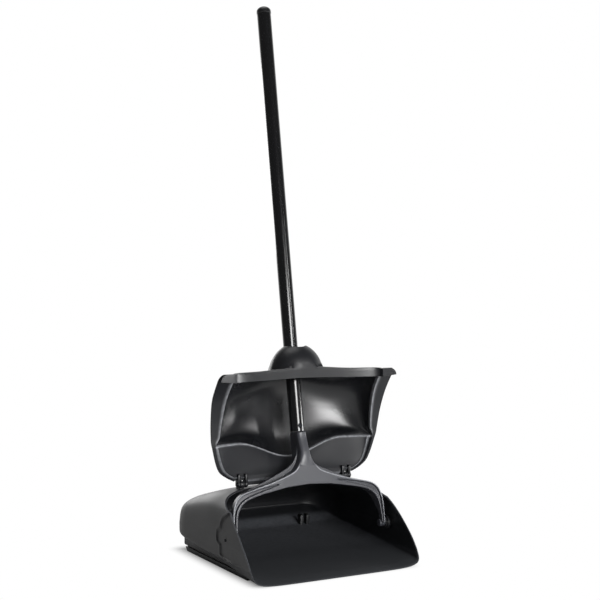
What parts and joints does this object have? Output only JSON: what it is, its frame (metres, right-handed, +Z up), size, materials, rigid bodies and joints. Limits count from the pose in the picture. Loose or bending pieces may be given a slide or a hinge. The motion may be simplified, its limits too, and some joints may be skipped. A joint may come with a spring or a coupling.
{
  "type": "lobby dustpan",
  "caption": "Upright dustpan with a hooded pan on skids and rollers, a wishbone yoke with a long leaning handle, and a hinged hood lid that closes as the handle folds forward.",
  "frame": {"origin": "on the ground under the middle of the pan", "axes": "+Z up along the height; the open mouth faces -Y; +X to the right of someone looking along +Y into the mouth"},
  "size_m": [0.3244, 0.324, 0.9407],
  "materials": {
    "pan_plastic": "satin black, finely textured",
    "yoke_plastic": "satin black, finely textured",
    "lid_plastic": "semi-gloss black inside",
    "wear_plastic": "dull dark grey",
    "tube_paint": "gloss black",
    "tube_plastic": "black",
    "steel": "plain zinc"
  },
  "bodies": {
    "pan": {"pan_shell": "pan_plastic", "skid_left": "wear_plastic", "skid_right": "wear_plastic", "skid_screws": "steel", "roller_bracket_left": "pan_plastic", "roller_bracket_right": "pan_plastic", "roller_pin_left": "steel", "roller_pin_right": "steel", "hinge_pin_left": "steel", "hinge_pin_right": "steel"},
    "yoke": {"yoke": "yoke_plastic", "pivot_pin_left": "steel", "pivot_pin_right": "steel", "pivot_washer_left": "wear_plastic", "pivot_washer_right": "wear_plastic", "handle_tube": "tube_paint", "handle_rivet": "steel", "handle_cap": "tube_plastic"},
    "lid": {"lid": "lid_plastic"},
    "roller_left": {"roller_left": "wear_plastic"},
    "roller_right": {"roller_right": "wear_plastic"}
  },
  "joints": [
    {"name": "yoke_pivot", "type": "hinge", "parent": "pan", "child": "yoke", "pos_m": [0, -0.064, 0.056], "axis": [1, 0, 0], "range_deg": [0, 88]},
    {"name": "lid_hinge", "type": "hinge", "parent": "pan", "child": "lid", "pos_m": [0, -0.012, 0.132], "axis": [1, 0, 0], "range_deg": [0, 105.7]},
    {"name": "roller_left_spin", "type": "hinge", "parent": "pan", "child": "roller_left", "pos_m": [-0.084, 0.11, 0.01], "axis": [1, 0, 0], "continuous": true},
    {"name": "roller_right_spin", "type": "hinge", "parent": "pan", "child": "roller_right", "pos_m": [0.084, 0.11, 0.01], "axis": [1, 0, 0], "continuous": true}
  ],
  "couplings": [
    {"joint": "lid_hinge", "follows": "yoke_pivot", "ratio": 1.2}
  ]
}
